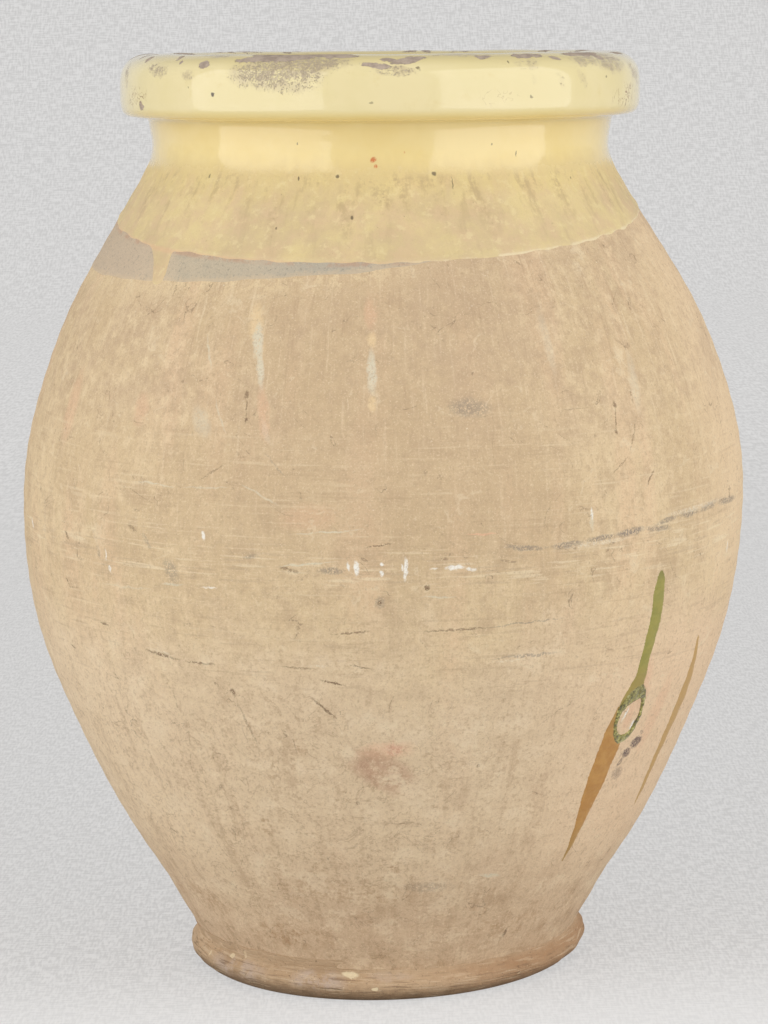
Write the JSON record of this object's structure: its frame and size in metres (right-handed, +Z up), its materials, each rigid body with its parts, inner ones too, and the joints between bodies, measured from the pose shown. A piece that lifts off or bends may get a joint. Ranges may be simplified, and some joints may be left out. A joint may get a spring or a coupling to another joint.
{
  "type": "olive jar",
  "caption": "Large bulbous storage jar of buff fired clay on a flat foot ring, with a thick rolled rim, yellow glaze over the neck and a wide open mouth.",
  "frame": {"origin": "middle of the flat foot, on the surface that the jar stands on", "axes": "+Z up, -Y towards the front that the picture shows, +X to its right, where the jar's own axis leans 1.35 degrees"},
  "size_m": [0.5476, 0.5476, 0.6939],
  "materials": {
    "clay": "matte",
    "foot_clay": "matte",
    "slip": "matte",
    "yellow_glaze": "gloss",
    "lining_glaze": "gloss",
    "green_glaze": "gloss",
    "amber_glaze": "satin"
  },
  "bodies": {
    "root": {"floor_slab": "foot_clay", "foot_ring": "foot_clay", "lower_wall": "clay", "belly_wall": "clay", "shoulder_wall": "clay", "neck_collar": "clay", "rim_roll": "clay", "slip_coat": "slip", "outer_glaze": "yellow_glaze", "inner_glaze": "lining_glaze", "ring_scar": "green_glaze", "green_glaze_run": "green_glaze", "amber_glaze_run": "amber_glaze", "side_glaze_run": "amber_glaze"}
  },
  "joints": []
}
